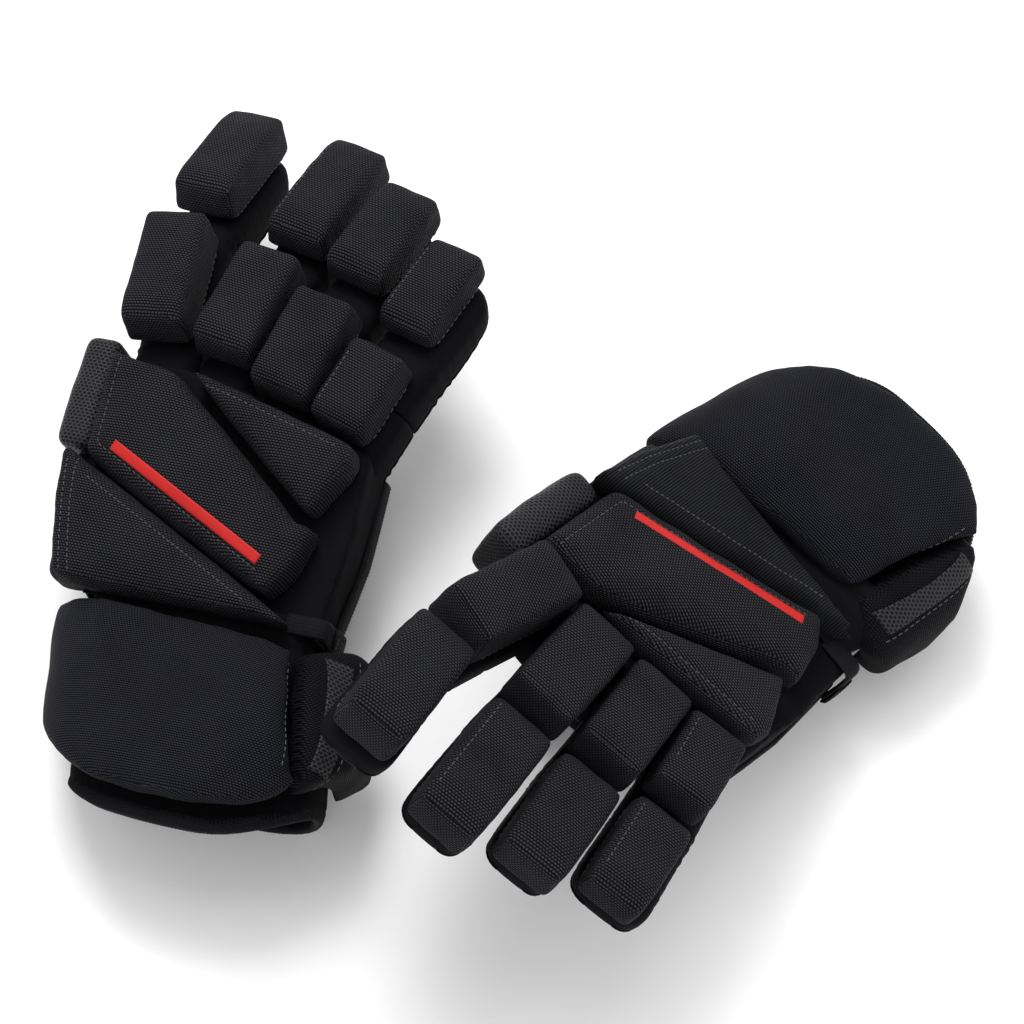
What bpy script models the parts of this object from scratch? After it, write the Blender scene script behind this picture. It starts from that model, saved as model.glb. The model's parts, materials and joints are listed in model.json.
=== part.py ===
"""Pair of padded ice-hockey gloves: a right and a left glove, each a jointed assembly.

Each glove is drawn in its own hand frame in millimetres: x towards the little finger,
y towards the fingertips, z out of the back of the hand, zero at the palm's underside.
The left glove is the right one mirrored in x.
"""
import math

import bmesh
import bpy
from mathutils import Matrix, Vector

MM = 0.001
GAP = 0.4

# how each glove lies: x and y of the hand frame, heading, lift, pitch and roll of the hand,
# each finger's curl at its two hinges and its tip's swing sideways, the cuff's shift and roll at
# the wrist, the thumb's pitch
LAYOUT = {
    "right": {"x": -73.9, "y": -54.7, "heading": 15.0, "mirrored": False,
              "lift": 28.0, "pitch": 9.5, "roll": -9.5,
              "curl": {"index": (-4, -7, 0), "middle": (-4, -2, 0), "ring": (0, -5, 0), "little": (0, -2, 0)},
              "cuff": (6.0, 1.0), "cuff_roll": -6.0, "thumb_pitch": 0.0},
    "left": {"x": 112.1, "y": 50.3, "heading": 165.0, "mirrored": True,
             "lift": 34.0, "pitch": 16.5, "roll": 15.0,
             "curl": {"index": (12, 12, -9), "middle": (9, 8, 0), "ring": (4, 10, 0), "little": (2, 9, 0)},
             "cuff": (-13.0, -3.0), "cuff_roll": 9.0, "thumb_pitch": -20.0},
}

# finger: base x, y, z, heading, pitch, then the second segment's turn and bend, the two segments'
# lengths, the roll's width, how far the sleeve stands out past its outer side, and the roll's height
FINGERS = {
    "index": {"base": (-51.5, 97.0, 14.0), "heading": 7.0, "pitch": -7.0, "turn": -11.0, "bend": -10.0,
              "lengths": (56.0, 60.0), "width": 28.5, "outer": 0.0, "roll": 25.0},
    "middle": {"base": (-21.5, 94.0, 12.0), "heading": -9.0, "pitch": -6.0, "turn": -3.0, "bend": -8.0,
               "lengths": (51.0, 61.0), "width": 29.0, "outer": 0.0, "roll": 23.0},
    "ring": {"base": (9.3, 86.0, 9.0), "heading": -12.0, "pitch": -2.0, "turn": -2.0, "bend": -10.0,
             "lengths": (47.0, 52.0), "width": 29.0, "outer": 0.0, "roll": 22.0},
    "little": {"base": (37.8, 78.2, 7.3), "heading": -17.0, "pitch": 0.0, "turn": 2.0, "bend": -10.0,
               "lengths": (38.0, 47.0), "width": 27.0, "outer": 5.0, "roll": 20.0},
}
SLEEVE_HEIGHT = 28.0
SLEEVE_WALL = 2.5
SLEEVE_ROUND = 6.0
SLEEVE_INSET = 1.0
SLEEVE_START = 1.5
TIP_RISE = 12.0
TIP_SETBACK = 3.0
ROLL_GAP = 7.0
ROLL_START = 0.5
TIP_ROLL_STEP = 3.0
ROLL_ROUND = 5.0

# back of the hand: a plane that rises towards the fingers and falls towards the little finger
DECK_HEIGHT = 34.0
DECK_RISE = 0.10
DECK_FALL = 0.03
PAD_THICKNESS = 19.0
PALM_BOTTOM = 4.0
PALM_THICKNESS = 3.5
SHELL_WALL = 3.0
HAND_OUTLINE = [(-66, 94), (-36, 93), (-7, 89), (24, 81), (53, 71), (54, 30), (50, -12), (-58, -12),
                (-66, 45)]
MAIN_PAD = [(-66, 90), (-36, 86), (33, 32), (43, 31), (37, 11), (28, -1), (-66, 44)]
KNUCKLE_PAD = [(-31, 89), (50, 69), (52, 61), (38, 36)]
LOWER_PAD = [(-76, 47), (-66, 41), (28, -4), (43, -11), (-20, -11), (-66, -11), (-73, 20)]

# the two rolls on the index finger's side: size, centre, heading and rounding
SIDE_ROLLS = {
    "mesh_side_roll": {"kind": "mesh", "size": (15.0, 52.0, 35.0), "centre": (-75.0, 73.0, 34.5),
                       "heading": -3.0, "round": 6.0},
    "side_strip_roll": {"kind": "roll", "size": (10.0, 50.0, 22.0), "centre": (-69.5, 18.0, 22.0),
                        "heading": 8.0, "round": 4.0},
}

# the webbing strap: its inner end over the wrist, its outer face, its lower end, thickness, and y range
STRAP_INNER_X = 44.0
STRAP_OUTER_X = 55.2
STRAP_LOW_Z = 12.0
STRAP_THICKNESS = 2.6
STRAP_START_Y = -11.5
STRAP_WIDTH = 9.0

# cuff, level on the ground, at each end: y, centre x and z, half width, height over the centre
# and depth under it
CUFF_FRONT = {"y": -20.2, "x": 0.0, "z": 46.0, "wide": 75.0, "high": 32.0, "low": 18.0}
CUFF_BACK = {"y": -111.0, "x": 9.0, "z": 42.0, "wide": 70.0, "high": 41.0, "low": 58.0}
CUFF_FRONT_SLANT = 0.07
CUFF_FRONT_LEAN = 0.06
CUFF_BACK_LEAN = 0.33
CUFF_BACK_ROUND_THUMB_SIDE = 24.0
CUFF_BACK_ROUND_LITTLE_SIDE = 36.0
CUFF_WING_REACH = 0.21
CUFF_SQUARENESS = 0.78
CUFF_BULGE = 5.0
CUFF_FRONT_EDGE_X = -80.0
CUFF_REACH_ANGLE = 30.0
CUFF_WING_INSET = 1.0
CUFF_WING_RANGE = (0.02, 0.97)
CUFF_SEAM_WIDTH_ANGLE = 2.0
CUFF_PAD_THICKNESS = 15.0
CUFF_LINER_THICKNESS = 3.0
CUFF_LINER_GAP = 1.5
CUFF_LINER_EXTRA = 9.0
CUFF_SEAM_ANGLES = (60.0, 42.0)
CUFF_PAD_END_ANGLE = 203.0
CUFF_WING_END_ANGLE = -24.0
WRIST_AXIS = (0.0, -22.0, 78.0)

THUMB_BASE = (-56.0, 14.0)
THUMB_HEADING = -34.0
THUMB_LENGTH = 76.0
THUMB_WIDTH = 26.0
THUMB_HEIGHT = 23.0
SPLINT_SIZE = (1.5, 56.0, 16.0)
SPLINT_START = (14.0, 3.0)
THUMB_ROLL_SIZE = (12.0, 62.0, 22.0)
THUMB_ROLL_START = 11.0
THUMB_ROLL_ROUND = 4.0

SMOOTH_ANGLE = 40.0

COLOURS = {
    "palm": (0.030, 0.030, 0.033, 1), "shell": (0.012, 0.012, 0.014, 1), "sleeve": (0.011, 0.011, 0.013, 1),
    "roll": (0.012, 0.013, 0.016, 1), "pad": (0.012, 0.013, 0.016, 1), "mesh": (0.016, 0.017, 0.020, 1),
    "cuff": (0.013, 0.014, 0.018, 1), "liner": (0.010, 0.010, 0.012, 1), "strap": (0.014, 0.014, 0.016, 1),
    "splint": (0.05, 0.05, 0.05, 1),
}
MIRROR_X = Matrix.Scale(-1, 4, Vector((1, 0, 0)))


def turn(degrees, axis):
    return Matrix.Rotation(math.radians(degrees), 4, axis)


def shift(x, y, z):
    return Matrix.Translation(Vector((x, y, z)))


def deck(x, y):
    return DECK_HEIGHT + DECK_RISE * y - DECK_FALL * x


def clear_scene():
    for thing in list(bpy.data.objects):
        bpy.data.objects.remove(thing, do_unlink=True)


def material_for(name, kind):
    material = bpy.data.materials.new(name)
    material.use_nodes = True
    shader = material.node_tree.nodes["Principled BSDF"]
    shader.inputs["Base Color"].default_value = COLOURS[kind]
    shader.inputs["Roughness"].default_value = 0.4 if kind == "splint" else 0.85
    shader.inputs["Metallic"].default_value = 0.0
    material.diffuse_color = COLOURS[kind]
    return material


class Glove:
    """Places hand-frame pieces in the world and mirrors them for the left glove."""

    def __init__(self, side, collection):
        spec = LAYOUT[side]
        self.side = side
        self.curl = spec["curl"]
        self.collection = collection
        self.mirrored = spec["mirrored"]
        self.ground = shift(spec["x"], spec["y"], 0) @ turn(spec["heading"], "Z")
        self.spec = spec
        self.cuff = shift(*spec["cuff"], 0) @ turn(spec["cuff_roll"], "Y")
        self.hand = shift(0, 0, spec["lift"]) @ turn(spec["pitch"], "X") @ turn(spec["roll"], "Y")

    def add(self, name, kind, bm, frame):
        """Makes one node from a bmesh drawn in millimetres in the given frame."""
        full = f"{self.side}_{name}"
        if self.mirrored:
            bmesh.ops.transform(bm, matrix=MIRROR_X, verts=bm.verts)
            bmesh.ops.reverse_faces(bm, faces=bm.faces)
            frame = MIRROR_X @ frame @ MIRROR_X
        world = self.ground @ frame
        bmesh.ops.scale(bm, vec=(MM, MM, MM), verts=bm.verts)
        mesh = bpy.data.meshes.new(full)
        bm.to_mesh(mesh)
        bm.free()
        mesh.shade_smooth()
        mesh.set_sharp_from_angle(angle=math.radians(SMOOTH_ANGLE))
        mesh.materials.append(material_for(full, kind))
        piece = bpy.data.objects.new(full, mesh)
        world.translation = world.translation * MM
        piece.matrix_world = world
        self.collection.objects.link(piece)
        return piece


def block(size, corner):
    """A box of the given size whose low corner is at corner."""
    bm = bmesh.new()
    bmesh.ops.create_cube(bm, size=1.0)
    bmesh.ops.scale(bm, vec=size, verts=bm.verts)
    middle = [low + length / 2 for low, length in zip(corner, size)]
    bmesh.ops.translate(bm, vec=middle, verts=bm.verts)
    return bm


def round_edges(bm, edges, width, segments=2):
    bmesh.ops.bevel(bm, geom=list(edges), offset=width, segments=segments, profile=0.5,
                    affect="EDGES", clamp_overlap=True)


def faces_facing(bm, axis, sign):
    return [face for face in bm.faces if face.normal[axis] * sign > 0.99]


def solidify(piece, thickness):
    shell = piece.modifiers.new("wall", "SOLIDIFY")
    shell.thickness = thickness * MM
    shell.offset = -1
    shell.use_even_offset = True


def padded_block(size, corner, width=ROLL_ROUND):
    bm = block(size, corner)
    round_edges(bm, bm.edges, width)
    return bm


def centred_block(size, width):
    return padded_block(size, [-length / 2 for length in size], width)


def extrude(bm, face, way):
    """Extrudes a lone face into a closed prism and returns its far corners."""
    grown = bmesh.ops.extrude_face_region(bm, geom=[face])
    far = [item for item in grown["geom"] if isinstance(item, bmesh.types.BMVert)]
    bmesh.ops.translate(bm, vec=way, verts=far)
    bmesh.ops.recalc_face_normals(bm, faces=bm.faces)
    return far


def plate(outline, bottom, thickness):
    """A prism over a flat outline; bottom is a function of x and y."""
    bm = bmesh.new()
    face = bm.faces.new([bm.verts.new((x, y, bottom(x, y))) for x, y in outline])
    return bm, extrude(bm, face, (0, 0, thickness))


def build_palm(glove):
    bm, _ = plate(HAND_OUTLINE, lambda x, y: PALM_BOTTOM, PALM_THICKNESS)
    glove.add("palm", "palm", bm, glove.hand)


def build_backhand_shell(glove):
    """An open-fronted arch over the hand cavity: top and two side walls."""
    base = PALM_BOTTOM + PALM_THICKNESS + GAP
    bm, top = plate(HAND_OUTLINE, lambda x, y: base, 1.0)
    for vert in top:
        vert.co.z = deck(vert.co.x, vert.co.y)
    bm.normal_update()
    front_or_back = [face for face in bm.faces if abs(face.normal.y) > 0.9]
    under = faces_facing(bm, 2, -1)
    bmesh.ops.delete(bm, geom=under + front_or_back, context="FACES")
    piece = glove.add("backhand_shell", "shell", bm, glove.hand)
    solidify(piece, SHELL_WALL)


def build_pad(glove, name, outline, kind="pad"):
    bm, top = plate(outline, lambda x, y: deck(x, y) + GAP, PAD_THICKNESS)
    rim = [edge for edge in bm.edges if edge.verts[0] in top and edge.verts[1] in top]
    round_edges(bm, rim, ROLL_ROUND)
    glove.add(name, kind, bm, glove.hand)


def build_side_rolls(glove):
    for name, spec in SIDE_ROLLS.items():
        roll = centred_block(spec["size"], spec["round"])
        place = glove.hand @ shift(*spec["centre"]) @ turn(spec["heading"], "Z")
        glove.add(name, spec["kind"], roll, place)


def build_wrist_strap(glove):
    """An L of webbing: over the back of the wrist and down the little-finger side."""
    low = deck(STRAP_INNER_X, STRAP_START_Y + STRAP_WIDTH) + GAP
    high = low + STRAP_THICKNESS
    bend = STRAP_OUTER_X - STRAP_THICKNESS
    outline = [(STRAP_INNER_X, low), (bend, low), (bend, STRAP_LOW_Z), (STRAP_OUTER_X, STRAP_LOW_Z),
               (STRAP_OUTER_X, high), (STRAP_INNER_X, high)]
    bm = bmesh.new()
    face = bm.faces.new([bm.verts.new((x, STRAP_START_Y, z)) for x, z in outline])
    extrude(bm, face, (0, STRAP_WIDTH, 0))
    glove.add("wrist_strap", "strap", bm, glove.hand)


def sleeve_mesh(width, start, length, height, closed, outer=0.0):
    """A rounded square tube along y, open at the start and, unless closed, at the end."""
    bm = block((width + outer, length, height), (-width / 2, start, 0))
    if closed:
        for vert in bm.verts:
            if vert.co.y > start + 1 and vert.co.z < 1:
                vert.co.z = TIP_RISE
        round_edges(bm, [edge for edge in bm.edges if max(v.co.y for v in edge.verts) > start + 1],
                    SLEEVE_ROUND)
    else:
        round_edges(bm, [edge for edge in bm.edges if abs(edge.verts[0].co.y - edge.verts[1].co.y) > 1],
                    SLEEVE_ROUND)
    bm.normal_update()
    open_faces = faces_facing(bm, 1, -1)
    if not closed:
        open_faces += faces_facing(bm, 1, 1)
    bmesh.ops.delete(bm, geom=open_faces, context="FACES")
    return bm


def build_finger(glove, name):
    spec = FINGERS[name]
    curl_base, curl_tip, swing = glove.curl[name]
    sideways = spec["turn"] + swing
    near, far = spec["lengths"]
    width = spec["width"]
    near_frame = (glove.hand @ shift(*spec["base"]) @ turn(spec["heading"], "Z")
                  @ turn(spec["pitch"] + curl_base, "X"))
    clearance = math.tan(math.radians(abs(sideways))) * (width / 2 + spec["outer"]) + 2 * GAP
    far_frame = (near_frame @ shift(0, near + ROLL_GAP / 2, 0) @ turn(sideways, "Z")
                 @ turn(spec["bend"] + curl_tip, "X"))
    sleeve_width = width - 2 * SLEEVE_INSET
    near_length = near + ROLL_GAP / 2 - SLEEVE_START - GAP
    near_sleeve = sleeve_mesh(sleeve_width, SLEEVE_START, near_length, SLEEVE_HEIGHT, False, spec["outer"])
    solidify(glove.add(f"{name}_proximal_sleeve", "sleeve", near_sleeve, near_frame), SLEEVE_WALL)
    far_height = SLEEVE_HEIGHT - 2
    far_sleeve = sleeve_mesh(sleeve_width, clearance, far - TIP_SETBACK, far_height, True, spec["outer"])
    solidify(glove.add(f"{name}_distal_sleeve", "sleeve", far_sleeve, far_frame), SLEEVE_WALL)
    near_roll = padded_block((width, near, spec["roll"]), (-width / 2, ROLL_START, SLEEVE_HEIGHT + GAP))
    glove.add(f"{name}_proximal_roll", "roll", near_roll, near_frame)
    far_roll = padded_block((width, far, spec["roll"] - TIP_ROLL_STEP),
                            (-width / 2, ROLL_GAP / 2, far_height + GAP))
    glove.add(f"{name}_distal_roll", "roll", far_roll, far_frame)


def lowest(meshes, frame):
    return min((frame @ vert.co).z for bm in meshes for vert in bm.verts)


def build_thumb(glove):
    """The thumb lies folded under the palm, and its lowest point stands on the ground."""
    tilt = glove.spec["thumb_pitch"]
    frame = shift(*THUMB_BASE, 0) @ turn(THUMB_HEADING, "Z") @ turn(tilt, "X")
    sleeve = sleeve_mesh(THUMB_WIDTH, 0, THUMB_LENGTH, THUMB_HEIGHT, True)
    splint_x = -THUMB_WIDTH / 2 - GAP - SPLINT_SIZE[0]
    splint = block(SPLINT_SIZE, (splint_x, *SPLINT_START))
    roll_x = splint_x - GAP - THUMB_ROLL_SIZE[0]
    roll = padded_block(THUMB_ROLL_SIZE, (roll_x, THUMB_ROLL_START, 0.0), THUMB_ROLL_ROUND)
    frame = shift(0, 0, -lowest((sleeve, roll), frame)) @ frame
    solidify(glove.add("thumb_sleeve", "sleeve", sleeve, frame), SLEEVE_WALL)
    glove.add("thumb_splint", "splint", splint, frame)
    glove.add("thumb_roll", "roll", roll, frame)


def between(key, part):
    return CUFF_FRONT[key] + (CUFF_BACK[key] - CUFF_FRONT[key]) * part


def rounded(value):
    return math.copysign(abs(value) ** CUFF_SQUARENESS, value)


def cuff_point(part, angle, inset, lean):
    """A point of the cuff's wall: part 0 is the wrist end, 1 the open end."""
    over = rounded(math.sin(math.radians(angle)))
    across = rounded(math.cos(math.radians(angle)))
    bulge = CUFF_BULGE * math.sin(math.pi * min(part, 1.0))
    high = between("high", part) + bulge - inset
    low = between("low", part) + CUFF_PAD_THICKNESS + CUFF_LINER_GAP - inset
    x = between("x", part) + (between("wide", part) - inset) * across
    z = between("z", part) + (high if over > 0 else low) * over
    front = (CUFF_FRONT["y"] - CUFF_FRONT_SLANT * (x - CUFF_FRONT_EDGE_X)
             - lean * max(0.0, WRIST_AXIS[2] - z))
    off_centre = (x - CUFF_BACK["x"]) / CUFF_BACK["wide"]
    corner = CUFF_BACK_ROUND_LITTLE_SIDE if off_centre > 0 else CUFF_BACK_ROUND_THUMB_SIDE
    back = (CUFF_BACK["y"] + corner * abs(off_centre) ** 3
            + CUFF_BACK_LEAN * max(0.0, CUFF_BACK["z"] + CUFF_BACK["high"] - z))
    return Vector((x, front + (back - front) * part, z))


def cuff_wall(glove, starts, ends, steps, rows, outer, inner, part_range,
              lean=CUFF_FRONT_LEAN, reach=0.0, inner_floor=0.0):
    """A curved wall between two insets, from one angle to another; a full ring when it closes.

    Each side's angle is given at the wrist end and at the open end. The wall is flattened where it
    lies on the ground.
    """
    closed = ends[0] - starts[0] >= 360
    count = steps if closed else steps + 1
    bm = bmesh.new()
    layers = []
    for inset, floor in ((outer, 0.0), (inner, inner_floor)):
        grid = []
        for row in range(rows + 1):
            line = []
            for step in range(count):
                turned = step / steps
                from_end = (ends[0] - starts[0]) * (1 - turned)
                first = part_range[0] - reach * min(1.0, from_end / CUFF_REACH_ANGLE)
                part = first + (part_range[1] - first) * row / rows
                start, end = (pair[0] + (pair[1] - pair[0]) * part for pair in (starts, ends))
                angle = start + (end - start) * turned
                point = glove.cuff @ cuff_point(part, angle, inset, lean)
                point.z = max(point.z, floor)
                line.append(bm.verts.new(point))
            grid.append(line)
        layers.append(grid)
    outside, inside = layers
    columns = range(count if closed else count - 1)
    for row in range(rows):
        for step in columns:
            after = (step + 1) % count
            for grid in layers:
                bm.faces.new((grid[row][step], grid[row][after], grid[row + 1][after], grid[row + 1][step]))
    for row in (0, rows):
        for step in columns:
            after = (step + 1) % count
            bm.faces.new((outside[row][step], outside[row][after], inside[row][after], inside[row][step]))
    if not closed:
        for step in (0, count - 1):
            for row in range(rows):
                bm.faces.new((outside[row][step], outside[row + 1][step], inside[row + 1][step],
                              inside[row][step]))
    bmesh.ops.recalc_face_normals(bm, faces=bm.faces)
    return bm


def build_cuff(glove):
    """Cuff pieces are stored about the wrist's axis, so that they turn with the cuff."""
    axis = glove.cuff @ Vector(WRIST_AXIS)
    frame = Matrix.Translation(axis)
    liner_inset = CUFF_PAD_THICKNESS + CUFF_LINER_GAP
    liner_end = 1.0 + CUFF_LINER_EXTRA / (CUFF_FRONT["y"] - CUFF_BACK["y"])
    wing_seam = [angle - CUFF_SEAM_WIDTH_ANGLE for angle in CUFF_SEAM_ANGLES]
    pad_end = (CUFF_PAD_END_ANGLE, CUFF_PAD_END_ANGLE)
    wing_end = (CUFF_WING_END_ANGLE, CUFF_WING_END_ANGLE)
    walls = {
        "cuff_pad": ("cuff", cuff_wall(glove, CUFF_SEAM_ANGLES, pad_end, 12, 4, 0.0, CUFF_PAD_THICKNESS,
                                       (0.0, 1.0))),
        "cuff_wing": ("cuff", cuff_wall(glove, wing_end, wing_seam, 5, 4, CUFF_WING_INSET,
                                        CUFF_PAD_THICKNESS, CUFF_WING_RANGE, lean=0.0,
                                        reach=CUFF_WING_REACH)),
        "cuff_liner": ("liner", cuff_wall(glove, (0.0, 0.0), (360.0, 360.0), 24, 4, liner_inset,
                                          liner_inset + CUFF_LINER_THICKNESS, (0.0, liner_end),
                                          inner_floor=CUFF_LINER_THICKNESS)),
    }
    for name, (kind, bm) in walls.items():
        bmesh.ops.translate(bm, vec=-axis, verts=bm.verts)
        glove.add(name, kind, bm, frame)


def build_glove(side, collection):
    glove = Glove(side, collection)
    build_palm(glove)
    build_backhand_shell(glove)
    build_pad(glove, "main_backhand_pad", MAIN_PAD)
    build_pad(glove, "knuckle_wedge_pad", KNUCKLE_PAD)
    build_pad(glove, "lower_hand_pad", LOWER_PAD)
    build_side_rolls(glove)
    build_wrist_strap(glove)
    for name in FINGERS:
        build_finger(glove, name)
    build_thumb(glove)
    build_cuff(glove)


def main():
    clear_scene()
    collection = bpy.data.collections.new("hockey_gloves")
    bpy.context.scene.collection.children.link(collection)
    for side in LAYOUT:
        build_glove(side, collection)


main()
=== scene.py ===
"""Looks for the pair of padded ice-hockey gloves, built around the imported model.

Every shape is drawn in millimetres in a glove's own frames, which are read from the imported
pieces and joints: x towards the little finger, y towards the fingertips, z out of the back of
the hand. The left glove's frames are mirrored, so the same code draws both gloves.
"""
import json
import math

import bmesh
import bpy
import numpy as np
from mathutils import Matrix, Vector, noise
from mathutils.bvhtree import BVHTree


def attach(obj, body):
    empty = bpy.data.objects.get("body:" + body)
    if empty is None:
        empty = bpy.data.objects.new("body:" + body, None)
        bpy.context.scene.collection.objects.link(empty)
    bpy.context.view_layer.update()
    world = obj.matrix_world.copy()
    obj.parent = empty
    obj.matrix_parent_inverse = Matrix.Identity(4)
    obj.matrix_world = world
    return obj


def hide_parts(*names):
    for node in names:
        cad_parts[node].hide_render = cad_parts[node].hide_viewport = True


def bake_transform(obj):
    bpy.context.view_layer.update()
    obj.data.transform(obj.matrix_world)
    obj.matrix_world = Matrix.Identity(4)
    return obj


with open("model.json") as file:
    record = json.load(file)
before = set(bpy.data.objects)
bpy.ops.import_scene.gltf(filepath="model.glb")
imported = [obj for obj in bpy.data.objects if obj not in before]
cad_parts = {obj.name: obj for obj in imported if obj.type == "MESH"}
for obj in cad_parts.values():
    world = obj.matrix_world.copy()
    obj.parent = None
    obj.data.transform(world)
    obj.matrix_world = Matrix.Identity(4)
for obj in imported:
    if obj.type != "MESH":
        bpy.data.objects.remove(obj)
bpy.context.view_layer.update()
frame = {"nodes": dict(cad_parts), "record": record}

MM = 0.001
NODES = frame["nodes"]
JOINTS = {joint["name"]: joint for joint in frame["record"]["behaviour"]["joints"]}
FINGERS = ("index", "middle", "ring", "little")
SIDES = {"right": 1, "left": -1}

# the palm piece's low corner in the hand's own frame
PALM_CORNER = (-66.0, -12.0, 4.0)

# camera: elevation, turn about z, distance to the middle of the ground, lens and aim
CAMERA_ELEVATION = 62.66
CAMERA_TURN = 30.0
CAMERA_DISTANCE = 1.42
CAMERA_LENS = 110.74
CAMERA_AIM = (-0.0024, 0.0623, 0.0)

# lights: name, place, size and power
LIGHTS = (("key", (-0.6, 0.6, 1.6), 0.7, 20.0), ("fill", (1.2, -0.7, 1.1), 1.2, 4.0),
          ("top", (-0.1, 0.3, 1.9), 1.0, 8.0))
WORLD_LIGHT = 0.8
FLOOR_GREY = 0.93

# padded pieces: the cage's cell, and the simulation that swells them
ROLL_CELL = 2.5
PAD_CELL = 2.2
CUFF_CELL = 3.4
WING_CELL = 2.3
LINING_CELL = 2.2
PALM_CELL = 1.5
WALL_CELL = 1.9
SIM_FRAMES = 20
SIM_SETTINGS = {"quality": 4, "use_pressure": True, "uniform_pressure_force": 4.0, "vertex_group_mass": "sewn",
                "tension_stiffness": 20, "compression_stiffness": 12, "bending_stiffness": 0.3}

# threads: pitch, length and radius of the stitches
PALM_THREAD = {"pitch": 3.0, "length": 2.0, "radius": 0.32}
CUFF_THREAD = {"pitch": 3.2, "length": 2.0, "radius": 0.28}
BACK_THREAD = {"pitch": 2.9, "length": 1.7, "radius": 0.22}
WRIST_THREAD = {"pitch": 2.6, "length": 1.5, "radius": 0.26}
ROLL_THREAD = {"pitch": 3.4, "length": 2.2, "radius": 0.26}
EDGE_THREAD = {"pitch": 2.8, "length": 1.5, "radius": 0.24}
TAB_THREAD = {"pitch": 1.8, "length": 1.1, "radius": 0.26}
THREAD_SIDES = 6
# how far off a piece a seam's path starts before it is laid on
FAR_OFF = 80.0


# ---------------- frames

def directions(node):
    """A node's face directions with the area that faces each way, largest first."""
    found = []
    for face in NODES[node].data.polygons:
        for entry in found:
            if entry[1].dot(face.normal) > 0.9995:
                entry[0] += face.area
                break
        else:
            found.append([face.area, face.normal.copy()])
    return sorted(found, key=lambda entry: -entry[0])


def facing(node, hint, least=0.6):
    """The direction near hint that most of a node's surface faces."""
    return next(normal for _, normal in directions(node) if normal.dot(hint) > least)


def placed(origin, x, y, z):
    """Matrix from millimetres along x, y and z at origin to the row frame's metres."""
    matrix = Matrix.Identity(4)
    for column, axis in enumerate((x, y, z)):
        matrix.col[column] = (*(Vector(axis) * MM), 0)
    matrix.translation = Vector(origin)
    return matrix


def to_local(points, matrix):
    inverse = np.array(matrix.inverted())
    return np.asarray(points) @ inverse[:3, :3].T + inverse[:3, 3]


def to_world(points, matrix):
    full = np.array(matrix)
    return np.asarray(points, float) @ full[:3, :3].T + full[:3, 3]


def turned(way, matrix):
    """A way in a frame as a unit way in the row frame."""
    return (matrix.to_3x3() @ Vector(way)).normalized()


def corners(node):
    return np.array([vert.co for vert in NODES[node].data.vertices])


def extent(node, matrix):
    """A node's low and high corners in a frame, in that frame's millimetres."""
    local = to_local(corners(node), matrix)
    return local.min(0), local.max(0)


class Glove:
    """One glove's frames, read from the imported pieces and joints."""

    def __init__(self, side):
        self.side = side
        self.sign = SIDES[side]
        knuckles = [Vector(JOINTS[self.name(f"{finger}_knuckle")]["pos_m"]) for finger in FINGERS]
        wrist = Vector(JOINTS[self.name("wrist_flex")]["pos_m"])
        forward = (sum(knuckles, Vector()) / len(knuckles) - wrist).normalized()
        z = facing(self.name("palm"), Vector((0, 0, 1)))
        y = -facing(self.name("palm"), -forward)
        x = y.cross(z) * self.sign
        basis = placed((0, 0, 0), x, y, z)
        low, _ = extent(self.name("palm"), basis)
        self.hand = placed(to_world(low - np.array(PALM_CORNER), basis), x, y, z)
        level_y = Vector((y.x, y.y, 0)).normalized()
        level_x = level_y.cross(Vector((0, 0, 1))) * self.sign
        self.cuff = placed(wrist, level_x, level_y, (0, 0, 1))
        self.near = {finger: self.segment(f"{finger}_knuckle", f"{finger}_proximal_roll") for finger in FINGERS}
        self.far = {finger: self.segment(f"{finger}_middle_joint", f"{finger}_distal_roll") for finger in FINGERS}
        self.thumb = self.thumb_frame()

    def name(self, piece):
        return f"{self.side}_{piece}"

    def segment(self, joint, roll):
        """A finger segment's frame: its hinge, and its roll's own up."""
        hinge = JOINTS[self.name(joint)]
        x = -Vector(hinge["axis"]) * self.sign
        z = facing(self.name(roll), Vector((0, 0, 1)))
        return placed(hinge["pos_m"], x, z.cross(x) * self.sign, z)

    def thumb_frame(self):
        hinge = JOINTS[self.name("thumb_swing")]
        z = Vector(hinge["axis"])
        z = z if z.z > 0 else -z
        y = facing(self.name("thumb_roll"), Vector(self.hand.col[1][:3]).normalized(), 0.7)
        y = (y - z * y.dot(z)).normalized()
        return placed(hinge["pos_m"], y.cross(z) * self.sign, y, z)


# ---------------- materials

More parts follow.
